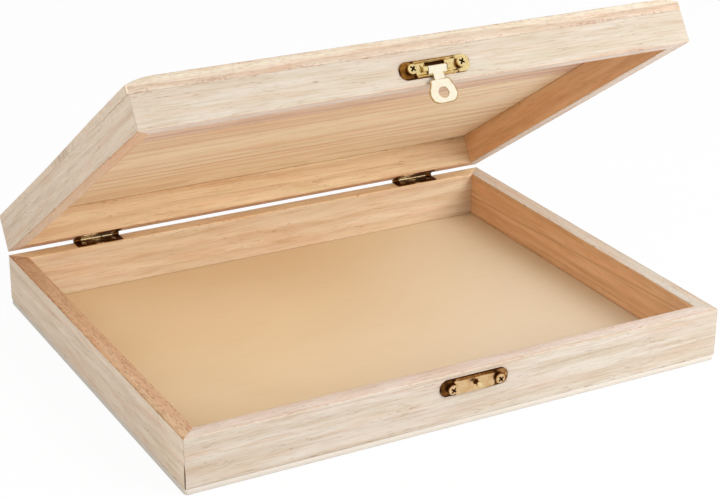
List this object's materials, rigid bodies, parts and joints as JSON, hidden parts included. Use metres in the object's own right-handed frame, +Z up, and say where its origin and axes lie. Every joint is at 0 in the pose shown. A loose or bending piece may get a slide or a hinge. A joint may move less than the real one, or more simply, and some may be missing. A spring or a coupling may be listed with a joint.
{
  "type": "art supply box",
  "caption": "Flat hinged wooden box with a mitred tray, a mitred lid on two butt hinges and a hasp that drops over a stud.",
  "frame": {"origin": "middle of the underside of the tray, on the surface that the box stands on", "axes": "+X to the right seen from the front, +Y to the back where the hinges are, +Z up; the lid is drawn standing open"},
  "size_m": [0.34, 0.2891, 0.2056],
  "materials": {
    "untreated_wood": "bare sanded light wood, fine straight grain",
    "floor_sheet": "smooth bare sheet",
    "bright_brass": "bright stamped brass plate",
    "aged_brass": "darkened brass"
  },
  "bodies": {
    "tray": {"tray_front_board": "untreated_wood", "tray_back_board": "untreated_wood", "tray_left_board": "untreated_wood", "tray_right_board": "untreated_wood", "tray_floor_panel": "floor_sheet", "catch_plate": "bright_brass", "catch_stud": "bright_brass", "catch_screws": "bright_brass", "left_hinge_tray_leaf": "aged_brass", "left_hinge_pin": "aged_brass", "left_hinge_tray_screws": "aged_brass", "right_hinge_tray_leaf": "aged_brass", "right_hinge_pin": "aged_brass", "right_hinge_tray_screws": "aged_brass"},
    "lid": {"lid_front_board": "untreated_wood", "lid_back_board": "untreated_wood", "lid_left_board": "untreated_wood", "lid_right_board": "untreated_wood", "lid_top_strip_1": "untreated_wood", "lid_top_strip_2": "untreated_wood", "lid_top_strip_3": "untreated_wood", "lid_top_strip_4": "untreated_wood", "latch_plate": "bright_brass", "latch_pin": "bright_brass", "latch_screws": "bright_brass", "left_hinge_lid_leaf": "aged_brass", "left_hinge_lid_screws": "aged_brass", "right_hinge_lid_leaf": "aged_brass", "right_hinge_lid_screws": "aged_brass"},
    "hasp": {"hasp": "bright_brass"}
  },
  "joints": [
    {"name": "lid_hinge", "type": "hinge", "parent": "tray", "child": "lid", "pos_m": [0.0024, 0.1327, 0.0341], "axis": [-1, 0, 0], "range_deg": [-34.25, 110]},
    {"name": "hasp_hinge", "type": "hinge", "parent": "lid", "child": "hasp", "pos_m": [0.0024, -0.08491, 0.19061], "axis": [-1, 0, 0], "range_deg": [0, 170]}
  ]
}
